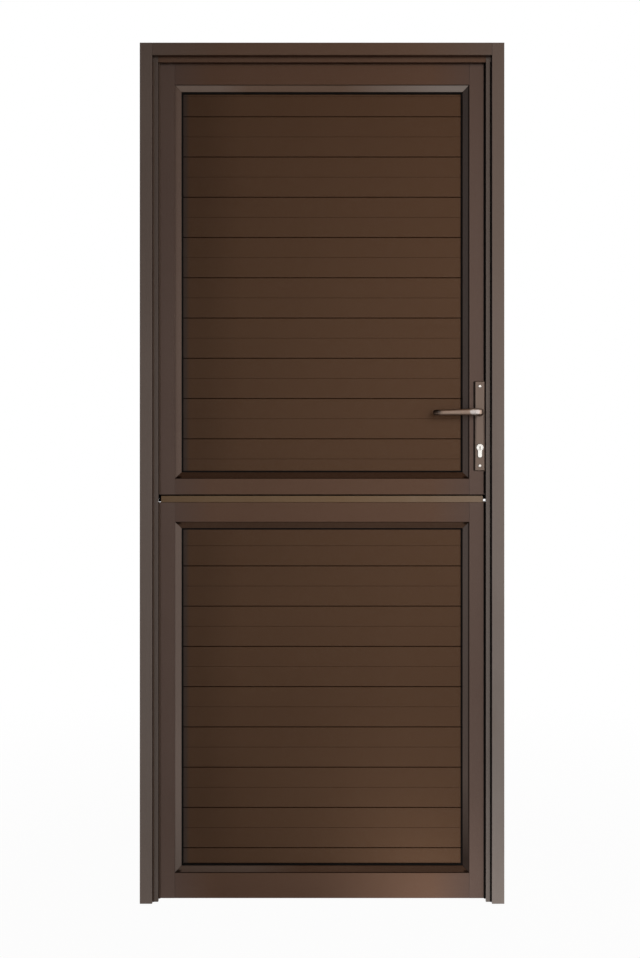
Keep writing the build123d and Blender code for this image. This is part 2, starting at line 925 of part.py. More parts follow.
def save_frame():
    heights = hinge_heights(lower_leaf) + hinge_heights(upper_leaf)
    save("hinge_jamb", jamb(to_left))
    save("lock_jamb", lock_jamb())
    save("frame_head", frame_head())
    save("hinge_jamb_stop", jamb_stop(to_left))
    save("lock_jamb_stop", jamb_stop(to_right))
    save("head_stop", head_stop())
    save("head_spigots", head_spigots())
    save("stop_seals", stop_seals())
    save("frame_hinge_flags", frame_flags(heights))
    save("hinge_pins", hinge_pins(heights))
    save("strike_plate", strike_plate())
    save("bolt_keep", bolt_keep())


def save_lock():
    save("upper_lock_stile", upper_lock_stile())
    save("lock_faceplate", faceplate())
    save("lock_case", lock_case())
    save("lock_follower", follower())
    save("latch_bolt", latch_bolt())
    save("dead_bolt", dead_bolt())
    save("lock_cylinder", lock_cylinder())
    save("cylinder_plug", cylinder_plug())
    plate = backplate()
    save("outside_backplate", plate)
    save("inside_backplate", mirror(plate, Plane.XZ))
    handle = lever()
    save("outside_lever", handle)
    save("inside_lever", mirror(handle, Plane.XZ))
    save("spindle", spindle())


def save_lower_fittings():
    save("lower_lock_stile", stile(lower_leaf, to_right))
    save("meeting_strip", meeting_strip())
    save("meeting_seal", meeting_seal())
    save("bolt_housing", bolt_housing())
    save("slide_bolt", slide_bolt())


os.makedirs("parts", exist_ok=True)
save_frame()
save_leaf(upper_leaf)
save_leaf(lower_leaf)
save_lock()
save_lower_fittings()
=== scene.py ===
import math

import bmesh
import bpy
from mathutils import Matrix, Vector


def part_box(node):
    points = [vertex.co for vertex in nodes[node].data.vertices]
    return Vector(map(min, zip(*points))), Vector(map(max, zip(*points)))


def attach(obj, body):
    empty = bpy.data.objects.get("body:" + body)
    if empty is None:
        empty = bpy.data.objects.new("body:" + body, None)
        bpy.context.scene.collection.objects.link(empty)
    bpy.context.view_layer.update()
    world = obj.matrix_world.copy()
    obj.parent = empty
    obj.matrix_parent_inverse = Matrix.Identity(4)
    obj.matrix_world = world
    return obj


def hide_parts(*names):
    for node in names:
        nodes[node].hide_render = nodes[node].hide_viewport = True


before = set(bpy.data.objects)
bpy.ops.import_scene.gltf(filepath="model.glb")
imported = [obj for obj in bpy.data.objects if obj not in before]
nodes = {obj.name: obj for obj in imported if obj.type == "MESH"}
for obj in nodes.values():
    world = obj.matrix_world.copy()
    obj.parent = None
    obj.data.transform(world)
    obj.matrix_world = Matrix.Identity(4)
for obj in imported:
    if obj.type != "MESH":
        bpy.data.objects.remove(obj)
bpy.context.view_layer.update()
scene = bpy.context.scene
mm = 0.001
mergeGap = 0.00001  # points nearer than this become one
quarterTurn = math.radians(90)
noiseMiddle = 0.5  # noise swings about this value
print("frame loaded:", len(nodes), "nodes")


# shader maths: a wire is one output socket, and sums on wires add Math nodes
class Wire:
    def __init__(self, finish, socket):
        self.finish = finish
        self.socket = socket

    def also(self, name):
        return Wire(self.finish, self.socket.node.outputs[name])

    def sum(self, operation, first, second):
        return self.finish.node("Math", {"operation": operation}, {0: first, 1: second})

    def __add__(self, other):
        return self.sum("ADD", self, other)

    def __radd__(self, other):
        return self.sum("ADD", other, self)

    def __sub__(self, other):
        return self.sum("SUBTRACT", self, other)

    def __rsub__(self, other):
        return self.sum("SUBTRACT", other, self)

    def __mul__(self, other):
        return self.sum("MULTIPLY", self, other)

    def __rmul__(self, other):
        return self.sum("MULTIPLY", other, self)

    def __truediv__(self, other):
        return self.sum("DIVIDE", self, other)

    def __rtruediv__(self, other):
        return self.sum("DIVIDE", other, self)

    def most(self, other):
        return self.sum("MAXIMUM", self, other)

    def size(self):
        return self.sum("ABSOLUTE", self, 0.0)


# one finish is one node tree, of a material or of the world
class Finish:
    def __init__(self, tree):
        self.tree = tree
        self.tree.nodes.clear()

    def node(self, kind, settings, sockets, out=0):
        made = self.tree.nodes.new("ShaderNode" + kind)
        for key, value in settings.items():
            if key == "stops":
                ramp = made.color_ramp
                while len(ramp.elements) < len(value):
                    ramp.elements.new(1.0)
                for element, (place, shade) in zip(ramp.elements, value):
                    element.position = place
                    element.color = (*shade, 1.0)
            else:
                setattr(made, key, value)
        for key, value in sockets.items():
            socket = made.inputs[key]
            if isinstance(value, Wire):
                self.tree.links.new(value.socket, socket)
            else:
                socket.default_value = value
        return Wire(self, made.outputs[out]) if made.outputs else None

    def place(self, scale=(1, 1, 1)):
        spot = self.node("TexCoord", {}, {}, "Object")
        return self.node("Mapping", {}, {"Vector": spot, "Scale": scale})

    # x on the door, with y and z beside it
    def across(self):
        return self.node("SeparateXYZ", {}, {0: self.place()}, "X")

    def noise(self, scale, detail, rough=0.5, stretch=(1, 1, 1)):
        settings = {"noise_dimensions": "3D"}
        sockets = {"Vector": self.place(stretch), "Scale": scale, "Detail": detail, "Roughness": rough}
        return self.node("TexNoise", settings, sockets, "Fac")

    def level(self, value, low, high, start=0.0, end=1.0):
        sockets = {"Value": value, "From Min": low, "From Max": high, "To Min": start, "To Max": end}
        return self.node("MapRange", {"clamp": True}, sockets)

    # a fade is where it starts, where it ends and its greatest share
    def fade(self, value, fit):
        start, end, most = fit
        return self.level(value, start, end, 0.0, most)

    def mix(self, share, first, second, blend="MIX"):
        settings = {"data_type": "RGBA", "blend_type": blend}
        return self.node("Mix", settings, {0: share, 6: first, 7: second}, 2)

    def bump(self, height, depth, strength):
        return self.node("Bump", {}, {"Height": height, "Distance": depth, "Strength": strength})

    def surface(self, sockets):
        shader = self.node("BsdfPrincipled", {}, sockets)
        self.node("OutputMaterial", {}, {"Surface": shader})


def newFinish(name):
    material = bpy.data.materials.new(name)
    material.use_nodes = True
    return material, Finish(material.node_tree)


def srgb(red, green, blue):
    return tuple(((c / 255 + 0.055) / 1.055) ** 2.4 for c in (red, green, blue)) + (1.0,)


def grey(level):
    return (level, level, level)


def bronze(shade, light, rough=0.38, metal=0.9, **more):
    return {"shade": srgb(*shade), "light": srgb(*light), "rough": rough, "metal": metal, **more}


# the tones of the bronze coat, piece by piece: ends is a fade towards both ends and its tint.
# Part of the difference between pieces of this one coat is painted light: the stiles are greyer than the
# rails as a painted sheen, and the top bead is brighter than the other beads as a painted reflection of the
# floor
bronzeLook = {
    "jamb": bronze((109, 95, 87), (119, 105, 97), dust=0.27, haze=0.0),
    "stop": bronze((93, 81, 74), (103, 91, 84), dust=0.18, haze=0.4),
    "head": bronze((105, 82, 68), (115, 92, 78), ends=((0.24, 0.42, 0.9), srgb(110, 96, 88))),
    "headStop": bronze((100, 75, 61), (110, 85, 70)),
    # greyer than the rails: a painted sheen
    "stile": bronze((97, 79, 71), (106, 88, 80)),
    "rail": bronze((97, 72, 57), (106, 80, 65), ends=((0.27, 0.36, 0.9), srgb(99, 81, 73))),
    "bead": bronze((90, 74, 66), (100, 84, 76)),
    "beadRail": bronze((87, 65, 51), (97, 74, 60)),
    # brighter than the other beads: a painted reflection of the floor
    "beadTopLit": bronze((108, 86, 72), (118, 95, 81)),
    "board": bronze((84, 60, 43), (92, 67, 49), rough=0.36),
    "strip": bronze((105, 79, 51), (121, 95, 66), rough=0.34, dust=0.22, haze=0.8, dustFrom=0.05),
    "plate": bronze((126, 109, 98), (136, 119, 108)),
    "lever": bronze((145, 124, 110), (157, 136, 122), rough=0.32),
    "fitting": bronze((84, 66, 56), (98, 80, 70), rough=0.42, metal=0.8),
}
alongAxis = {"x": (1.5, 420, 420), "z": (420, 420, 1.5), "none": (60, 60, 60)}  # how the die lines run


# pale dust and a painted sheen low down on the frame and on the meeting strip, most of it towards the lock
# side, where the light comes from. A look's dust is its share; the stops and the strip keep part of the
# painted sheen up to the top
dustSheenFit = {
    "top": 1.6, "foot": 0.35, "left": -0.45, "right": 0.45, "leftShare": 0.3, "shade": srgb(172, 168, 164),
    "patches": (26.0, 4.0, 0.6, (1, 1, 0.25)), "swing": 0.8, "least": 0.6,
}


def paleDustAndSheen(finish, colour, look):
    fit = dustSheenFit
    x = finish.across()
    low = finish.level(x.also("Z"), fit["top"], fit["foot"], look["haze"], 1.0)
    start = look.get("dustFrom", fit["left"])
    side = finish.level(x, start, fit["right"], fit["leftShare"], 1.0)
    patchy = finish.noise(*fit["patches"]) * fit["swing"] + fit["least"]
    return finish.mix(low * side * patchy * look["dust"], colour, fit["shade"])


# a painted highlight in an oval on the outer face of the lever's elbow, a little darker towards the neck,
# and painted shade on the tip, where it turns back
hubHighlightFit = {
    "x": 0.3680, "z": 1.192, "wide": 0.0125, "tall": 0.0090, "edge": (1.15, 0.75), "proud": (0.0600, 0.0648),
    "turn": (0.366, 0.376), "shade": srgb(203, 194, 189), "far": srgb(173, 163, 157),
    "tip": (0.2850, 0.2780, 0.75), "tipShade": srgb(66, 48, 38),
}


def paintedHubHighlight(finish, colour):
    fit = hubHighlightFit
    x = finish.across()
    y = x.also("Y")
    across = (x - fit["x"]) / fit["wide"]
    upward = (x.also("Z") - fit["z"]) / fit["tall"]
    oval = finish.level(across * across + upward * upward, *fit["edge"])
    near, far = fit["proud"]
    outer = finish.level(y * y, near ** 2, far ** 2)
    colour = finish.mix(finish.fade(x, fit["tip"]), colour, fit["tipShade"])
    highlight = finish.mix(finish.level(x, *fit["turn"]), fit["shade"], fit["far"])
    return finish.mix(oval * outer, colour, highlight)


# painted shade where beads meet the leaf: a dark line on the lock side and along the rails as painted shadow,
# more in the mitred corners and at the foot, with a painted sheen on the lower beads and on the top bead
beadShadeSheenFit = {
    "line": (0.3566, 0.3578, 0.8), "soft": (0.352, 0.360, 0.25), "foot": (0.30, 0.10, 0.85),
    "rail": (0.0026, 0.0014, 0.6), "corner": (0.342, 0.349), "cornerTall": (0.0085, 0.0050, 0.9),
    "middle": (0.01, 0.0), "lower": (1.0, 0.95), "leftPale": (0.95, 0.1, 0.10, 0.20), "rightPale": 0.09,
    "bottom": (0.16, 0.14), "bottomPale": (0.05, 0.18, 0.24), "bottomDark": (0.05, 0.32, 0.3),
    "topRight": (0.05, 0.30, 0.68), "topLeft": (0.18, 0.25, 0.25),
    "shade": srgb(30, 20, 15), "pale": srgb(150, 142, 136),
}
beadEdges = [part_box("upper_top_bead")[1].z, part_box("upper_bottom_bead")[0].z]
beadEdges += [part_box("lower_top_bead")[1].z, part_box("lower_bottom_bead")[0].z]


def sideBeadShadeSheen(finish, colour):
    fit = beadShadeSheenFit
    x = finish.across()
    z = x.also("Z")
    lower = finish.level(z, *fit["lower"])
    left = finish.level(x, *fit["middle"])
    line = finish.fade(x, fit["line"])
    soft = finish.fade(0 - x, fit["soft"]) * (1 - lower)
    foot = finish.fade(z, fit["foot"]) * (1 - left)
    pale = lower * (left * finish.level(z, *fit["leftPale"]) + (1 - left) * fit["rightPale"])
    colour = finish.mix(pale, colour, fit["pale"])
    return finish.mix(line.most(foot) + soft, colour, fit["shade"])


def railBeadShadeSheen(finish, colour, corners):
    fit = beadShadeSheenFit
    x = finish.across()
    z = x.also("Z")
    near = finish.level(x.size(), *fit["corner"])
    share = 0.0
    for edge in beadEdges:
        away = (z - edge).size()
        line = finish.fade(away, fit["rail"])
        if corners:
            line = line.most(near * finish.fade(away, fit["cornerTall"]))
        share = line + share
    bottom = finish.level(z, *fit["bottom"])
    pale = bottom * finish.fade(0 - x, fit["bottomPale"])
    dark = bottom * finish.fade(x, fit["bottomDark"])
    if not corners:
        pale = pale + finish.fade(x, fit["topRight"]) + finish.fade(0 - x, fit["topLeft"])
    colour = finish.mix(pale, colour, fit["pale"])
    return finish.mix(dark.most(share), colour, fit["shade"])


# painted shade on the boards: darker towards the hinge side, away from the light, and greyer where they go
# under its bead
boardShadeFit = {
    "wide": (0.20, 0.29, 0.18), "dark": srgb(30, 20, 15),
    "under": (0.326, 0.334, 0.7), "grey": srgb(64, 57, 54),
}


def boardSideShade(finish, colour):
    left = 0 - finish.across()
    colour = finish.mix(finish.fade(left, boardShadeFit["wide"]), colour, boardShadeFit["dark"])
    return finish.mix(finish.fade(left, boardShadeFit["under"]), colour, boardShadeFit["grey"])


# bronze powder coat on extruded profiles: faint die lines along the length, fine orange peel, soft clouding
coatFit = {
    "dieLines": (1.0, 3.0, 0.6), "clouds": (3.2, 3.0), "peel": (900.0, 1.0), "flake": (2600.0, 0.0),
    "cloudTone": 0.6, "lineTone": 0.4, "spread": (0.3, 0.7),
    "sparkle": (0.62, 0.78, 0.35), "spark": (0.42, 0.33, 0.27, 1.0),
    "lineRough": 0.16, "cloudRough": 0.10, "gloss": 0.25,
    "peelRise": 0.6, "lineRise": 0.4, "bump": (0.00008, 0.5),
}


def bronzeCoat(kind, along):
    fit = coatFit
    look = bronzeLook[kind]
    material, finish = newFinish(f"bronze_{kind}_{along}")
    dieLines = finish.noise(*fit["dieLines"], alongAxis[along])
    clouds = finish.noise(*fit["clouds"])
    peel = finish.noise(*fit["peel"])
    flake = finish.noise(*fit["flake"])
    share = finish.level(clouds * fit["cloudTone"] + dieLines * fit["lineTone"], *fit["spread"])
    colour = finish.mix(share, look["shade"], look["light"])
    colour = finish.mix(finish.fade(flake, fit["sparkle"]), colour, fit["spark"])
    if "dust" in look:
        colour = paleDustAndSheen(finish, colour, look)
    if "ends" in look:
        reach, tint = look["ends"]
        colour = finish.mix(finish.fade(finish.across().size(), reach), colour, tint)
    if kind == "bead":
        colour = sideBeadShadeSheen(finish, colour)
    if kind in ("beadRail", "beadTopLit"):
        colour = railBeadShadeSheen(finish, colour, kind == "beadRail")
    if kind == "board":
        colour = boardSideShade(finish, colour)
    if kind == "lever":
        colour = paintedHubHighlight(finish, colour)
    roughness = look["rough"] + (dieLines - noiseMiddle) * fit["lineRough"]
    roughness = roughness + (clouds - noiseMiddle) * fit["cloudRough"]
    relief = peel * fit["peelRise"] + dieLines * fit["lineRise"]
    finish.surface({
        "Base Color": colour, "Roughness": roughness, "Metallic": look["metal"],
        "Specular IOR Level": fit["gloss"], "Normal": finish.bump(relief, *fit["bump"]),
    })
    return material


# black rubber, painted lighter brown on the hinge side: painted light where the side light reaches it
rubberFit = {
    "grain": (1400.0, 2.0), "dust": (9.0, 3.0), "dusty": (0.45, 0.8, 0.5),
    "shade": srgb(13, 9, 7), "light": srgb(30, 25, 22), "sideLitFade": (0.2, -0.3), "litBrown": srgb(100, 84, 74),
    "rough": 0.55, "grainRough": 0.2, "gloss": 0.15, "bump": (0.0001, 0.4),
}


def darkRubber(name, sideLit):
    fit = rubberFit
    material, finish = newFinish(name)
    grain = finish.noise(*fit["grain"])
    dust = finish.noise(*fit["dust"])
    colour = finish.mix(finish.fade(dust, fit["dusty"]), fit["shade"], fit["light"])
    if sideLit:
        colour = finish.mix(finish.level(finish.across(), *fit["sideLitFade"]), colour, fit["litBrown"])
    finish.surface({
        "Base Color": colour, "Roughness": fit["rough"] + grain * fit["grainRough"],
        "Specular IOR Level": fit["gloss"], "Normal": finish.bump(grain, *fit["bump"]),
    })
    return material


plasticFit = {
    "grain": (1100.0, 1.0), "spread": (0.4, 0.7), "shade": srgb(30, 26, 24), "light": srgb(44, 39, 36),
    "rough": 0.42, "grainRough": 0.15, "bump": (0.00006, 0.5),
}


def darkPlastic():
    fit = plasticFit
    material, finish = newFinish("dark_plastic")
    grain = finish.noise(*fit["grain"])
    colour = finish.mix(finish.level(grain, *fit["spread"]), fit["shade"], fit["light"])
    finish.surface({
        "Base Color": colour, "Roughness": fit["rough"] + grain * fit["grainRough"],
        "Normal": finish.bump(grain, *fit["bump"]),
    })
    return material


# bare metal: brushed along its length, with faint spots
metalFit = {
    "brushed": (1.0, 3.0, 0.6), "spots": (70.0, 3.0), "brushTone": 0.7, "spotTone": 0.3,
    "spread": (0.35, 0.65), "brushRough": 0.2, "spotRough": 0.1, "bump": (0.00004, 0.4),
}


def plainMetal(name, shade, light, rough, stretch):
    fit = metalFit
    material, finish = newFinish(name)
    brushed = finish.noise(*fit["brushed"], stretch)
    spots = finish.noise(*fit["spots"])
    share = finish.level(brushed * fit["brushTone"] + spots * fit["spotTone"], *fit["spread"])
    roughness = rough + (brushed - noiseMiddle) * fit["brushRough"] + (spots - noiseMiddle) * fit["spotRough"]
    finish.surface({
        "Base Color": finish.mix(share, shade, light), "Roughness": roughness,
        "Metallic": 1.0, "Normal": finish.bump(brushed, *fit["bump"]),
    })
    return material


finishes = {
    "jamb": bronzeCoat("jamb", "z"),
    "stopZ": bronzeCoat("stop", "z"),
    "stopX": bronzeCoat("headStop", "x"),
    "head": bronzeCoat("head", "x"),
    "stile": bronzeCoat("stile", "z"),
    "rail": bronzeCoat("rail", "x"),
    "beadX": bronzeCoat("beadRail", "x"),
    "beadTopLit": bronzeCoat("beadTopLit", "x"),
    "beadZ": bronzeCoat("bead", "z"),
    "board": bronzeCoat("board", "x"),
    "strip": bronzeCoat("strip", "x"),
    "plate": bronzeCoat("plate", "z"),
    "lever": bronzeCoat("lever", "none"),
    "fitting": bronzeCoat("fitting", "none"),
    "rubber": darkRubber("dark_rubber", False),
    "stopRubber": darkRubber("stop_rubber", True),
    "plastic": darkPlastic(),
    "steel": plainMetal("zinc_steel", srgb(150, 150, 146), srgb(186, 186, 182), 0.34, (900, 900, 30)),
    "nickel": plainMetal("satin_nickel", srgb(226, 222, 215), srgb(246, 242, 236), 0.24, (700, 700, 700)),
    "mill": plainMetal("mill_aluminium", srgb(190, 191, 190), srgb(212, 213, 212), 0.38, (3, 500, 500)),
    "screw": plainMetal("bright_screw", srgb(222, 216, 209), srgb(242, 238, 233), 0.22, (900, 900, 900)),
}
print("finishes made:", len(finishes))

# which finish each CAD node takes, by its whole name or else by the end of its name
nodeFinish = {
    "frame_head": "head", "hinge_jamb": "jamb", "lock_jamb": "jamb", "head_stop": "stopX",
    "meeting_strip": "strip", "upper_top_bead": "beadTopLit",
    "strike_plate": "steel", "lock_faceplate": "steel", "lock_case": "steel", "latch_bolt": "steel",
    "dead_bolt": "steel", "spindle": "steel", "lock_follower": "steel", "hinge_pins": "steel",
    "lock_cylinder": "nickel", "cylinder_plug": "nickel", "bolt_housing": "fitting", "bolt_keep": "fitting",
    "slide_bolt": "fitting", "outside_backplate": "plate", "inside_backplate": "plate",
    "outside_lever": "lever", "inside_lever": "lever",
}
endFinish = {
    "stile": "stile", "rail": "rail", "jamb_stop": "stopZ", "top_bead": "beadX", "bottom_bead": "beadX",
    "left_bead": "beadZ", "right_bead": "beadZ", "boards": "board", "gasket": "rubber", "seal": "rubber",
    "seals": "rubber", "spigots": "mill", "plugs": "plastic", "flags": "fitting",
}
# edges that a coat rounds, in millimetres
edgeRound = {
    "jamb": 0.6, "head": 0.6, "stopZ": 0.5, "stopX": 0.5, "stile": 0.6, "rail": 0.6, "beadX": 0.6,
    "beadTopLit": 0.6, "beadZ": 0.6, "strip": 0.4, "plate": 0.6, "fitting": 0.6, "steel": 0.25, "nickel": 0.3,
}
roundFit = {"steps": 2, "angle": 40.0}


def dressNode(name, node):
    key = nodeFinish.get(name)
    for ending, choice in endFinish.items():
        if key is None and name.endswith(ending):
            key = choice
    node.data.materials.clear()
    node.data.materials.append(finishes[key])
    if key in edgeRound:
        weld = node.modifiers.new("weld", "WELD")
        weld.merge_threshold = mergeGap
        soft = node.modifiers.new("edge", "BEVEL")
        soft.width = edgeRound[key] * mm
        soft.segments = roundFit["steps"]
        soft.limit_method = "ANGLE"
        soft.angle_limit = math.radians(roundFit["angle"])
        soft.use_clamp_overlap = True
        soft.harden_normals = False


for name, node in nodes.items():
    dressNode(name, node)
print("nodes dressed")


# modelling helpers: everything is shaped in edit mode, then its place is applied to the mesh
facing = {"near": 0.9, "flat": 0.99}  # how squarely a face that is picked looks along an axis


def settle(piece, name, finish, body):
    bpy.ops.object.mode_set(mode="OBJECT")
    bpy.ops.object.transform_apply(location=True, rotation=True, scale=True)
    piece.name = name
    piece.data.name = name
    piece.data.materials.clear()
    piece.data.materials.append(finishes[finish])
    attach(piece, body)


def startEdit():
    bpy.ops.object.transform_apply(location=True, rotation=True, scale=True)
    bpy.ops.object.mode_set(mode="EDIT")
    bpy.ops.mesh.select_all(action="SELECT")


def pickFaces(test):
    mesh = bmesh.from_edit_mesh(bpy.context.object.data)
    bpy.ops.mesh.select_all(action="DESELECT")
    for face in mesh.faces:
        if test(face.calc_center_median(), face.normal):
            face.select_set(True)
    bmesh.update_edit_mesh(bpy.context.object.data)


def push(x, y, z):
    bpy.ops.mesh.extrude_region_move(TRANSFORM_OT_translate={"value": (x, y, z)})


def applyAll(piece):
    bpy.ops.object.mode_set(mode="OBJECT")
    for modifier in list(piece.modifiers):
        bpy.ops.object.modifier_apply(modifier=modifier.name)


def joinPieces(pieces):
    bpy.ops.object.select_all(action="DESELECT")
    for piece in pieces:
        piece.select_set(True)
    bpy.context.view_layer.objects.active = pieces[0]
    if len(pieces) > 1:
        bpy.ops.object.join()
    return pieces[0]


# lever: a bar with rounded corners swept round the elbow to a tip that turns back, on a round neck
leverFit = {
    "thick": 13.0 * mm, "tall": 16.5 * mm, "tipTall": 13.0 * mm, "length": 112.0 * mm,
    "elbow": 22.0 * mm, "tip": 14.0 * mm, "tipTurn": 75.0, "elbowSteps": 8, "barSteps": 6, "tipSteps": 5,
    "corner": 4.6 * mm, "endRound": 3.0 * mm, "roundSteps": 3, "smoothLevels": 2,
    "neckRadius": 8.5 * mm, "neckProud": 3.0 * mm, "neckSides": 16, "neckCuts": 4, "neckSmooth": 0.8,
    "neckReach": (-10.0 * mm, 20.0 * mm),
}


def sweepLever():
    fit = leverFit
    low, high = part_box("outside_lever")
    plateLow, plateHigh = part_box("outside_backplate")
    x = (plateLow.x + plateHigh.x) / 2
    z = (low.z + high.z) / 2
    barY = low.y + fit["thick"] / 2
    elbowStart = barY + fit["elbow"]
    barEnd = x - fit["length"] + fit["tip"]
    bpy.ops.object.select_all(action="DESELECT")
    bpy.ops.mesh.primitive_plane_add(size=1, location=(x, elbowStart, z), rotation=(quarterTurn, 0, 0))
    piece = bpy.context.object
    piece.scale = (fit["thick"], fit["tall"], 1)
    startEdit()
    bpy.ops.mesh.bevel(offset=fit["corner"], segments=fit["roundSteps"], affect="VERTICES")
    bpy.ops.mesh.spin(
        steps=fit["elbowSteps"], angle=quarterTurn,
        center=(x - fit["elbow"], elbowStart, z), axis=(0, 0, 1),
    )
    run = (x - fit["elbow"] - barEnd) / fit["barSteps"]
    shrink = (fit["tipTall"] / fit["tall"]) ** (1 / fit["barSteps"])
    tall = fit["tall"]
    for step in range(fit["barSteps"]):
        push(-run, 0, -tall * (1 - shrink) / 2)
        bpy.ops.transform.resize(value=(1, 1, shrink))
        tall *= shrink
    bpy.ops.mesh.spin(
        steps=fit["tipSteps"], angle=math.radians(fit["tipTurn"]),
        center=(barEnd, barY + fit["tip"], z), axis=(0, 0, 1),
    )
    bpy.ops.mesh.bevel(offset=fit["endRound"], segments=fit["roundSteps"], affect="EDGES")
    bpy.ops.mesh.primitive_circle_add(
        vertices=fit["neckSides"], radius=fit["neckRadius"], fill_type="NGON",
        location=(x, high.y, z), rotation=(quarterTurn, 0, 0),
    )
    push(0, plateLow.y - high.y - fit["neckProud"], 0)
    # the two ends that face each other open, and a bridge joins them
    reachLow, reachHigh = fit["neckReach"]
    pickFaces(lambda middle, normal: abs(middle.x - x) < mm and reachLow < middle.y - elbowStart < reachHigh)
    bpy.ops.mesh.delete(type="ONLY_FACE")
    bpy.ops.mesh.select_mode(type="EDGE")
    bpy.ops.mesh.select_all(action="DESELECT")
    bpy.ops.mesh.select_non_manifold()
    bpy.ops.mesh.bridge_edge_loops(
        number_cuts=fit["neckCuts"], interpolation="SURFACE", smoothness=fit["neckSmooth"],
    )
    bpy.ops.mesh.select_mode(type="FACE")
    bpy.ops.mesh.select_all(action="SELECT")
    bpy.ops.mesh.remove_doubles(threshold=mergeGap)
    bpy.ops.mesh.normals_make_consistent(inside=False)
    bpy.ops.object.mode_set(mode="OBJECT")
    smooth = piece.modifiers.new("smooth", "SUBSURF")
    smooth.levels = fit["smoothLevels"]
    smooth.render_levels = fit["smoothLevels"]
    applyAll(piece)
    bpy.ops.object.shade_smooth()
    return piece


def makeLevers():
    outside = sweepLever()
    settle(outside, "outsideLeverSmooth", "lever", "lever")
    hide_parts("outside_lever")
    inside = sweepLever()
    inside.scale = (1, -1, 1)
    startEdit()
    bpy.ops.mesh.normals_make_consistent(inside=False)
    settle(inside, "insideLeverSmooth", "lever", "lever")
    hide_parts("inside_lever")


makeLevers()
print("levers swept")

# screw heads: low domes with a cross recess, copied to every plate and hinge flag
screwFit = {
    "radius": 3.4 * mm, "rise": 1.3 * mm, "sink": 0.6 * mm, "sides": 28, "domeShare": 0.75, "domeSteps": 4,
    "cross": (0.9 * mm, 4.0 * mm), "crossTurns": (45, 135), "deep": 0.8 * mm, "smooth": 35.0, "twist": 23.0,
}
screwSizes = {"plate": 1.2, "hinge": 1.15, "small": 0.8}


def screwHead():
    fit = screwFit
    bpy.ops.object.select_all(action="DESELECT")
    bpy.ops.mesh.primitive_cylinder_add(
        vertices=fit["sides"], radius=fit["radius"], depth=fit["rise"] + fit["sink"],
        location=(0, (fit["sink"] - fit["rise"]) / 2, 0), rotation=(quarterTurn, 0, 0),
    )
    head = bpy.context.object
    startEdit()
    pickFaces(lambda middle, normal: normal.y < -facing["near"])
    bpy.ops.mesh.bevel(offset=fit["rise"] * fit["domeShare"], segments=fit["domeSteps"], affect="EDGES")
    bpy.ops.object.mode_set(mode="OBJECT")
    cutters = []
    for turn in fit["crossTurns"]:
        bpy.ops.object.select_all(action="DESELECT")
        bpy.ops.mesh.primitive_cube_add(
            size=1, location=(0, -fit["rise"], 0), rotation=(0, math.radians(turn), 0),
            scale=(fit["cross"][0], fit["deep"] * 2, fit["cross"][1]),
        )
        bpy.ops.object.transform_apply(location=True, rotation=True, scale=True)
        cutters.append(bpy.context.object)
    bpy.ops.object.select_all(action="DESELECT")
    bpy.context.view_layer.objects.active = head
    head.select_set(True)
    for index, cutter in enumerate(cutters):
        cut = head.modifiers.new(f"recess{index}", "BOOLEAN")
        cut.operation = "DIFFERENCE"
        cut.object = cutter
    applyAll(head)
    bpy.ops.object.shade_smooth_by_angle(angle=math.radians(fit["smooth"]))
    for cutter in cutters:
        bpy.data.objects.remove(cutter)
    return head


def placeScrews(name, spots, body, finish, size):
    copies = []
    for index, (spot, way) in enumerate(spots):
        mesh = masterScrew.data.copy()
        turn = Vector((0, -1, 0)).rotation_difference(Vector(way)).to_matrix().to_4x4()
        twist = Matrix.Rotation(math.radians(screwFit["twist"] * index), 4, "Y")
        mesh.transform(Matrix.Translation(spot) @ turn @ twist @ Matrix.Scale(size, 4))
        copy = bpy.data.objects.new(name, mesh)
        scene.collection.objects.link(copy)
        copies.append(copy)
    settle(joinPieces(copies), name, finish, body)


masterScrew = screwHead()

plateLow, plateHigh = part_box("outside_backplate")
lockX = (plateLow.x + plateHigh.x) / 2
plateInset = 12.5 * mm
for name, y, way in (("outsidePlateScrews", plateLow.y, -1), ("insidePlateScrews", -plateLow.y, 1)):
    heights = (plateLow.z + plateInset, plateHigh.z - plateInset)
    places = [((lockX, y, z), (0, way, 0)) for z in heights]
    placeScrews(name, places, "upper_leaf", "screw", screwSizes["plate"])

# hinge flags: two screws on each flap, beyond the knuckle
flagFit = {
    "knuckle": 52.0 * mm, "gap": 0.3 * mm, "flap": 4.0 * mm, "rise": 15.0 * mm,
    "frameX": -0.4285, "leafX": -0.385,
}
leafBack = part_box("upper_hinge_stile")[1].y


def flagScrews(low, x):
    y = leafBack + flagFit["flap"]
    middle = low + flagFit["knuckle"] / 2
    return [((x, y, middle + way * flagFit["rise"]), (0, 1, 0)) for way in (-1, 1)]


frameSpots = []
for leaf in ("lower", "upper"):
    low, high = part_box(f"{leaf}_hinge_flags")
    lows = (low.z, high.z - flagFit["knuckle"])
    leafSpots = [spot for z in lows for spot in flagScrews(z, flagFit["leafX"])]
    placeScrews(
        f"{leaf}HingeScrews", leafSpots, f"{leaf}_leaf", "steel", screwSizes["hinge"],
    )
    for z in lows:
        frameSpots += flagScrews(z - 2 * flagFit["gap"] - flagFit["knuckle"], flagFit["frameX"])
placeScrews("frameHingeScrews", frameSpots, "frame", "steel", screwSizes["hinge"])

# lock faceplate and strike: a screw near each end
faceFit = {"inset": 12.0 * mm, "proud": 0.6 * mm}
strikeFit = {"inset": 8.0 * mm, "proud": 0.4 * mm}


def endScrews(x, way, low, high, fit):
    heights = (low.z + fit["inset"], high.z - fit["inset"])
    return [((x + way * fit["proud"], 0, z), (way, 0, 0)) for z in heights]


faceLow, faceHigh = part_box("lock_faceplate")
facePlaces = endScrews(faceHigh.x, 1, faceLow, faceHigh, faceFit)
placeScrews("faceplateScrews", facePlaces, "upper_leaf", "screw", screwSizes["small"])
strikeLow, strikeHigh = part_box("strike_plate")
strikePlaces = endScrews(strikeLow.x, -1, strikeLow, strikeHigh, strikeFit)
placeScrews("strikeScrews", strikePlaces, "frame", "screw", screwSizes["small"])

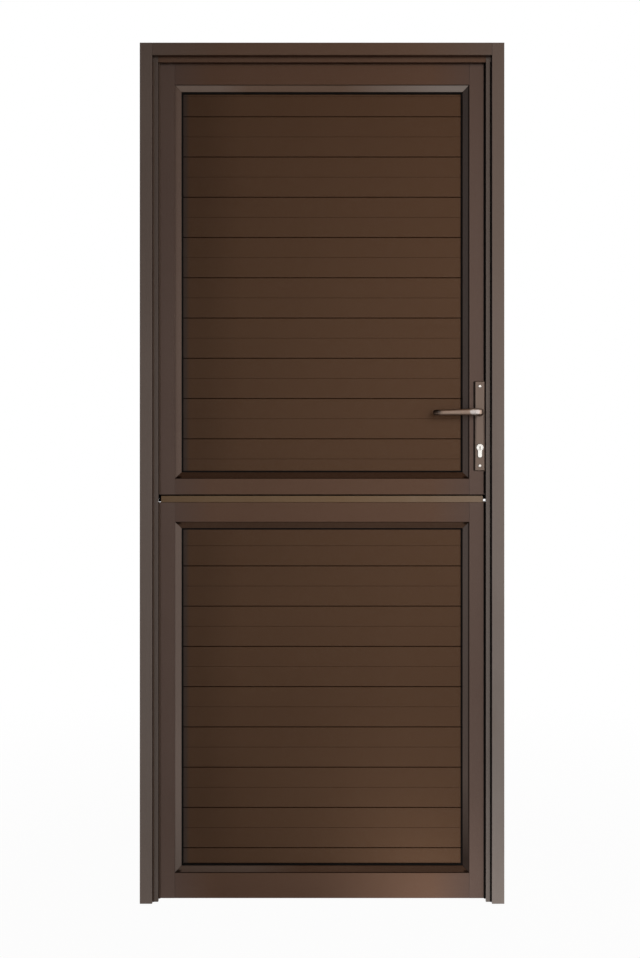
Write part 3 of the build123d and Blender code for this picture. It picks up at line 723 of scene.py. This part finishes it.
# slide bolt: screws in the corners of its base and in the keep
boltFit = {"x": 7.0 * mm, "z": 4.2 * mm, "base": 3.0 * mm}
boltY = leafBack + boltFit["base"]
baseLow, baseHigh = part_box("bolt_housing")
boltPlaces = [
    ((x, boltY, z), (0, 1, 0))
    for x in (baseLow.x + boltFit["x"], baseHigh.x - boltFit["x"])
    for z in (baseLow.z + boltFit["z"], baseHigh.z - boltFit["z"])
]
placeScrews("slideBoltScrews", boltPlaces, "lower_leaf", "steel", screwSizes["small"])
keepLow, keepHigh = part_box("bolt_keep")
keepPlaces = [
    (((keepLow.x + keepHigh.x) / 2, boltY, z), (0, 1, 0))
    for z in (keepLow.z + boltFit["z"], keepHigh.z - boltFit["z"])
]
placeScrews("keepScrews", keepPlaces, "frame", "steel", screwSizes["small"])
bpy.data.objects.remove(masterScrew)
print("screws placed")

# snap caps that close the fixing slots in the jambs
capFit = {
    "wide": 18.0 * mm, "tall": 28.0 * mm, "thick": 1.4 * mm, "shares": (0.08, 0.36, 0.64, 0.92),
    "roundShare": 0.6, "roundSteps": 3, "rim": 2.2 * mm, "dip": 0.4 * mm, "smooth": 30.0,
}


def fixingCaps(name, node, way):
    fit = capFit
    low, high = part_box(node)
    x = low.x if way < 0 else high.x
    y = (low.y + high.y) / 2
    made = []
    for share in fit["shares"]:
        bpy.ops.object.select_all(action="DESELECT")
        bpy.ops.mesh.primitive_cube_add(
            size=1, location=(x + way * fit["thick"] / 2, y, low.z + (high.z - low.z) * share),
            scale=(fit["thick"], fit["wide"], fit["tall"]),
        )
        startEdit()
        pickFaces(lambda middle, normal: normal.x * way > facing["near"])
        edge = fit["thick"] * fit["roundShare"]
        bpy.ops.mesh.bevel(offset=edge, segments=fit["roundSteps"], affect="EDGES")
        pickFaces(lambda middle, normal: normal.x * way > facing["flat"])
        bpy.ops.mesh.inset(thickness=fit["rim"])
        push(-way * fit["dip"], 0, 0)
        bpy.ops.object.mode_set(mode="OBJECT")
        bpy.ops.object.shade_smooth_by_angle(angle=math.radians(fit["smooth"]))
        made.append(bpy.context.object)
    settle(joinPieces(made), name, "plastic", "frame")


fixingCaps("hingeJambCaps", "hinge_jamb", 1)
fixingCaps("lockJambCaps", "lock_jamb", -1)
print("fixing slots capped")


# dark rubber at the stops that stands in for the shade in their recesses: a cord in the corner with the jamb,
# and a lip that meets the leaves, left open at the meeting gap and behind the handle plate
gasketFit = {
    "cord": 3.0 * mm, "cordRise": 1.2 * mm, "lip": 3.8 * mm, "lipClear": 0.5 * mm, "lipTall": 4.0 * mm,
    "round": 0.5 * mm, "roundSteps": 2, "smooth": 50.0, "meetingClear": 2.0 * mm, "plateClear": 1.0 * mm,
}


def gasketRun(low, high):
    bpy.ops.object.select_all(action="DESELECT")
    middle = [(a + b) / 2 for a, b in zip(low, high)]
    bpy.ops.mesh.primitive_cube_add(size=1, location=middle, scale=[b - a for a, b in zip(low, high)])
    startEdit()
    bpy.ops.mesh.bevel(offset=gasketFit["round"], segments=gasketFit["roundSteps"], affect="EDGES")
    bpy.ops.object.mode_set(mode="OBJECT")
    bpy.ops.object.shade_smooth_by_angle(angle=math.radians(gasketFit["smooth"]))
    return bpy.context.object


def joinRuns(made, name, finish, body):
    settle(joinPieces(made), name, finish, body)


def stopShadeGaskets(name, node, way, gaps):
    fit = gasketFit
    low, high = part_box(node)
    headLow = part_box("head_stop")[0].z
    corner, edge = (high.x, low.x) if way > 0 else (low.x, high.x)
    cordX = sorted((corner, corner - way * fit["cord"]))
    lipX = sorted((edge, edge - way * fit["lip"]))
    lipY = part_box("upper_hinge_stile")[0].y - fit["lipClear"]
    made = [gasketRun((cordX[0], low.y - fit["cordRise"], low.z), (cordX[1], low.y, headLow))]
    starts = [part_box("lower_hinge_stile")[0].z] + [gap[1] for gap in gaps]
    ends = [gap[0] for gap in gaps] + [headLow]
    for start, end in zip(starts, ends):
        made.append(gasketRun((lipX[0], lipY - fit["lipTall"], start), (lipX[1], lipY, end)))
    joinRuns(made, name, "stopRubber", "frame")


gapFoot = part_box("meeting_strip")[0].z - gasketFit["meetingClear"]
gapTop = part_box("upper_meeting_rail")[0].z + gasketFit["meetingClear"]
meetingGap = (gapFoot, gapTop)
plateGap = (plateLow.z - gasketFit["plateClear"], plateHigh.z + gasketFit["plateClear"])
stopShadeGaskets("hingeStopShadeGaskets", "hinge_jamb_stop", -1, [meetingGap])
stopShadeGaskets("lockStopShadeGaskets", "lock_jamb_stop", 1, [meetingGap, plateGap])
print("stops sealed")

# meeting gap: a fin closes the top of the seal, and pads at the ends of the strip leave a spot of light
meetingFit = {
    "fin": 1.0 * mm, "finClear": 0.08 * mm, "finSink": 1.6 * mm, "padWide": 7.5 * mm, "padDeep": 4.0 * mm,
    "leftLight": 1.5 * mm, "rightLight": 2.5 * mm,
}


def meetingRubber():
    fit = meetingFit
    wide, deep = fit["padWide"], fit["padDeep"]
    sealLow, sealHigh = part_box("meeting_seal")
    stripLow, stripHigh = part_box("meeting_strip")
    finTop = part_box("upper_meeting_rail")[0].z - fit["finClear"]
    fin = gasketRun((sealLow.x, -fit["fin"], sealHigh.z - fit["finSink"]), (sealHigh.x, fit["fin"], finTop))
    leftFoot = stripLow.z + fit["leftLight"]
    rightTop = stripLow.z + fit["rightLight"]
    left = gasketRun((stripLow.x - wide, -deep, leftFoot), (stripLow.x, deep, sealLow.z))
    right = gasketRun((stripHigh.x, -deep, stripLow.z), (stripHigh.x + wide, deep, rightTop))
    joinRuns([fin, left, right], "meetingSealFin", "rubber", "lower_leaf")


meetingRubber()

# a dark rubber bead along the inner edge of the outside handle plate, standing in for the plate's shadow on
# the leaf
plateShadowFit = {"wide": 2.2 * mm, "rise": 2.0 * mm, "short": 1.0 * mm}
plateShadowBead = gasketRun(
    (plateLow.x - plateShadowFit["wide"], plateHigh.y - plateShadowFit["rise"], plateLow.z + plateShadowFit["short"]),
    (plateLow.x, plateHigh.y, plateHigh.z - plateShadowFit["short"]),
)
joinRuns([plateShadowBead], "plateShadowStrip", "rubber", "upper_leaf")
print("meeting gap and plate sealed")


# light, floor and camera
cameraFit = {"spot": (-0.005, -3.245, 1.030), "lens": 49.53, "sensor": 36.0}
lamps = {
    "side_panel": {"spot": (2.7, -0.8, 1.25), "aim": (0.38, -0.1, 1.15), "size": (3.0, 1.9), "glow": 1.2},
}


def addLamp(name, fit):
    light = bpy.data.lights.new(name, "AREA")
    light.shape = "RECTANGLE"
    light.size, light.size_y = fit["size"]
    light.energy = fit["glow"] * math.pi * light.size * light.size_y  # glow is the panel's own brightness
    lamp = bpy.data.objects.new(name, light)
    scene.collection.objects.link(lamp)
    lamp.visible_camera = False
    lamp.location = fit["spot"]
    aim = Vector(fit["aim"]) - Vector(fit["spot"])
    lamp.rotation_euler = aim.to_track_quat("-Z", "Y").to_euler()


for name, fit in lamps.items():
    addLamp(name, fit)


# the surround that metal shows: white low down and on the right, dimmer to the left and overhead
surroundFit = {
    "across": (
        (0.13, grey(0.10)), (0.20, (0.33, 0.44, 0.55)), (0.27, (0.33, 0.44, 0.55)), (0.35, grey(0.10)),
        (0.44, grey(0.20)), (0.457, grey(0.19)), (0.477, grey(0.56)), (0.50, grey(0.69)),
        (0.523, grey(0.84)), (0.545, grey(1.12)), (0.557, grey(1.02)), (0.68, grey(0.96)), (0.78, grey(0.63)),
    ),
    "up": ((0.58, grey(1.0)), (0.66, (0.44, 0.37, 0.32)), (0.78, (0.20, 0.14, 0.10))),
    "glow": 1.54,
}


# a direction, from -1 to 1, picks its place on a ramp
def glowRamp(finish, way, stops):
    return finish.node("ValToRGB", {"stops": stops}, {0: way * 0.5 + 0.5})


# the floor runs into the white background and keeps the door's shadow, and metal sees its sheen
floorFit = {
    "size": 40.0, "drop": 0.5 * mm, "grain": (30.0, 2.0), "spread": (0.3, 0.7),
    "shade": (*grey(0.80), 1.0), "light": (*grey(0.84), 1.0), "near": 0.8, "far": 3.0, "white": 0.97,
    "blend": 0.5, "steep": 0.30, "flat": 0.60, "dim": 0.10, "sheen": 0.9, "reach": 2.0,
    "foot": (1.3, 0.4), "leftGlow": (0.0, 0.3, 0.45), "rightGlow": (0.0, 0.3, 0.85),
    "across": (
        (0.35, grey(0.58)), (0.40, grey(0.35)), (0.428, grey(0.31)), (0.445, grey(0.26)),
        (0.55, grey(0.69)), (0.562, grey(0.67)), (0.58, grey(0.48)),
    ),
}


def addFloor():
    fit = floorFit
    bpy.ops.object.select_all(action="DESELECT")
    bpy.ops.mesh.primitive_plane_add(size=fit["size"], location=(0, 0, -fit["drop"]))
    floor = bpy.context.object
    floor.name = "studioFloor"
    material, finish = newFinish("pale_floor")
    cameraRay = finish.node("LightPath", {}, {}, "Is Camera Ray")
    shineRay = cameraRay.also("Is Glossy Ray").most(cameraRay.also("Is Transmission Ray"))
    spot = finish.place()
    away = finish.node("VectorMath", {"operation": "LENGTH"}, {0: spot}, "Value")
    x = finish.node("SeparateXYZ", {}, {0: spot}, "X")
    sides = finish.fade(x, fit["rightGlow"]) + finish.fade(0 - x, fit["leftGlow"])
    lift = finish.level(away, *fit["foot"]) * sides + 1
    facingRay = finish.node("LayerWeight", {}, {"Blend": fit["blend"]}, "Facing")
    sheen = finish.level(facingRay, fit["steep"], fit["flat"], fit["dim"], fit["sheen"])
    clear = finish.level(away, fit["near"], fit["far"], fit["white"], 1.0)
    grain = finish.level(finish.noise(*fit["grain"]), *fit["spread"])
    matt = finish.node("BsdfDiffuse", {}, {"Color": finish.mix(grain, fit["shade"], fit["light"])})
    glow = glowRamp(finish, x / (away + fit["reach"]), fit["across"])
    lit = finish.mix(1.0, glow, lift, "MULTIPLY")
    shine = finish.node("Emission", {}, {"Color": lit, "Strength": surroundFit["glow"]})
    white = finish.node("Emission", {}, {"Color": (1, 1, 1, 1), "Strength": 1.0})
    shown = finish.node("MixShader", {}, {0: shineRay * sheen, 1: matt, 2: shine})
    shown = finish.node("MixShader", {}, {0: cameraRay * clear, 1: shown, 2: white})
    finish.node("OutputMaterial", {}, {"Surface": shown})
    floor.data.materials.append(material)


addFloor()


def addSurround():
    world = bpy.data.worlds.new("studio")
    scene.world = world
    world.use_nodes = True
    sky = Finish(world.node_tree)
    cameraRay = sky.node("LightPath", {}, {}, "Is Camera Ray")
    clearRay = cameraRay.most(cameraRay.also("Is Transmission Ray"))
    across = sky.node("SeparateXYZ", {}, {0: sky.node("TexCoord", {}, {}, "Generated")}, "X")
    up = glowRamp(sky, across.also("Z"), surroundFit["up"])
    colour = sky.mix(1.0, glowRamp(sky, across, surroundFit["across"]), up, "MULTIPLY")
    soft = sky.node("Background", {}, {"Color": colour, "Strength": surroundFit["glow"]})
    white = sky.node("Background", {}, {"Color": (1, 1, 1, 1), "Strength": 1.0})
    both = sky.node("MixShader", {}, {0: clearRay, 1: soft, 2: white})
    sky.node("OutputWorld", {}, {"Surface": both})


addSurround()
scene.view_settings.view_transform = "Standard"

camera = bpy.data.cameras.new("photoCamera")
camera.sensor_fit = "VERTICAL"
camera.sensor_height = cameraFit["sensor"]
camera.lens = cameraFit["lens"]
cameraObject = bpy.data.objects.new("photoCamera", camera)
scene.collection.objects.link(cameraObject)
cameraObject.location = cameraFit["spot"]
cameraObject.rotation_euler = (quarterTurn, 0, 0)
scene.camera = cameraObject
print("studio ready")
